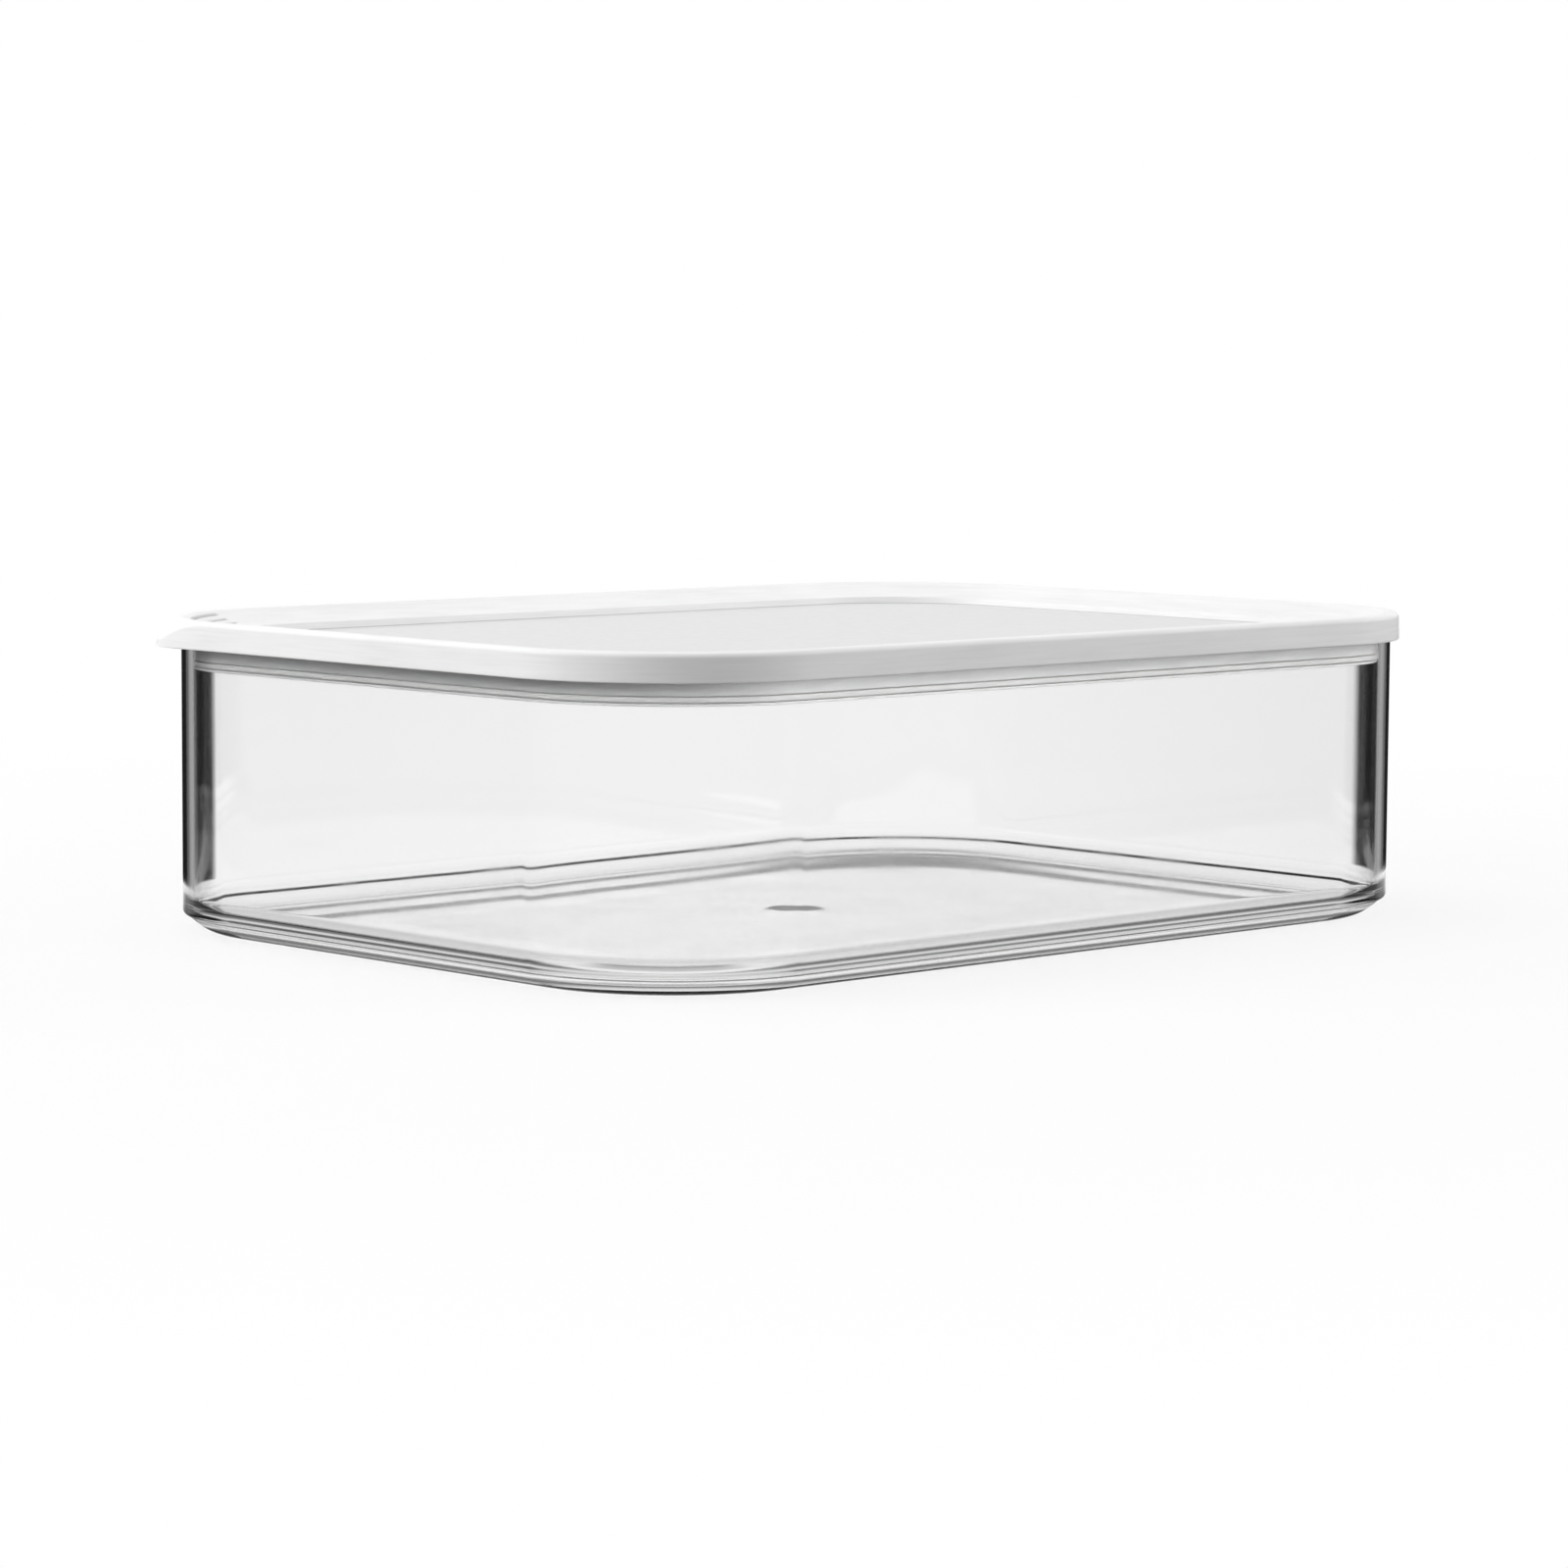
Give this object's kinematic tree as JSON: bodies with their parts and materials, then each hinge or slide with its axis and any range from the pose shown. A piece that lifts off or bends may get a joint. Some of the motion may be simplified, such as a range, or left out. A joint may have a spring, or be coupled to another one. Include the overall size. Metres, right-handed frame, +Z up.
{
  "type": "food storage box",
  "caption": "Shallow clear food box with rounded corners, a white press-on lid with a corner pull lip, a soft seal and a dished top for stacking.",
  "frame": {"origin": "middle of the flat face that the box stands on", "axes": "+X along the long side, +Y along the short side, +Z up, the way the lid lifts; the pull lip is at the -X +Y corner"},
  "size_m": [0.2298, 0.1678, 0.063],
  "materials": {
    "clear_plastic": "clear glossy moulding",
    "white_plastic": "satin moulding",
    "seal_rubber": "soft matt"
  },
  "bodies": {
    "box": {"box_body": "clear_plastic"},
    "lid": {"lid": "white_plastic", "seal_ring": "seal_rubber"}
  },
  "joints": [
    {"name": "lid_lift", "type": "slide", "parent": "box", "child": "lid", "axis": [0, 0, 1], "range_m": [0, 0.08]}
  ]
}
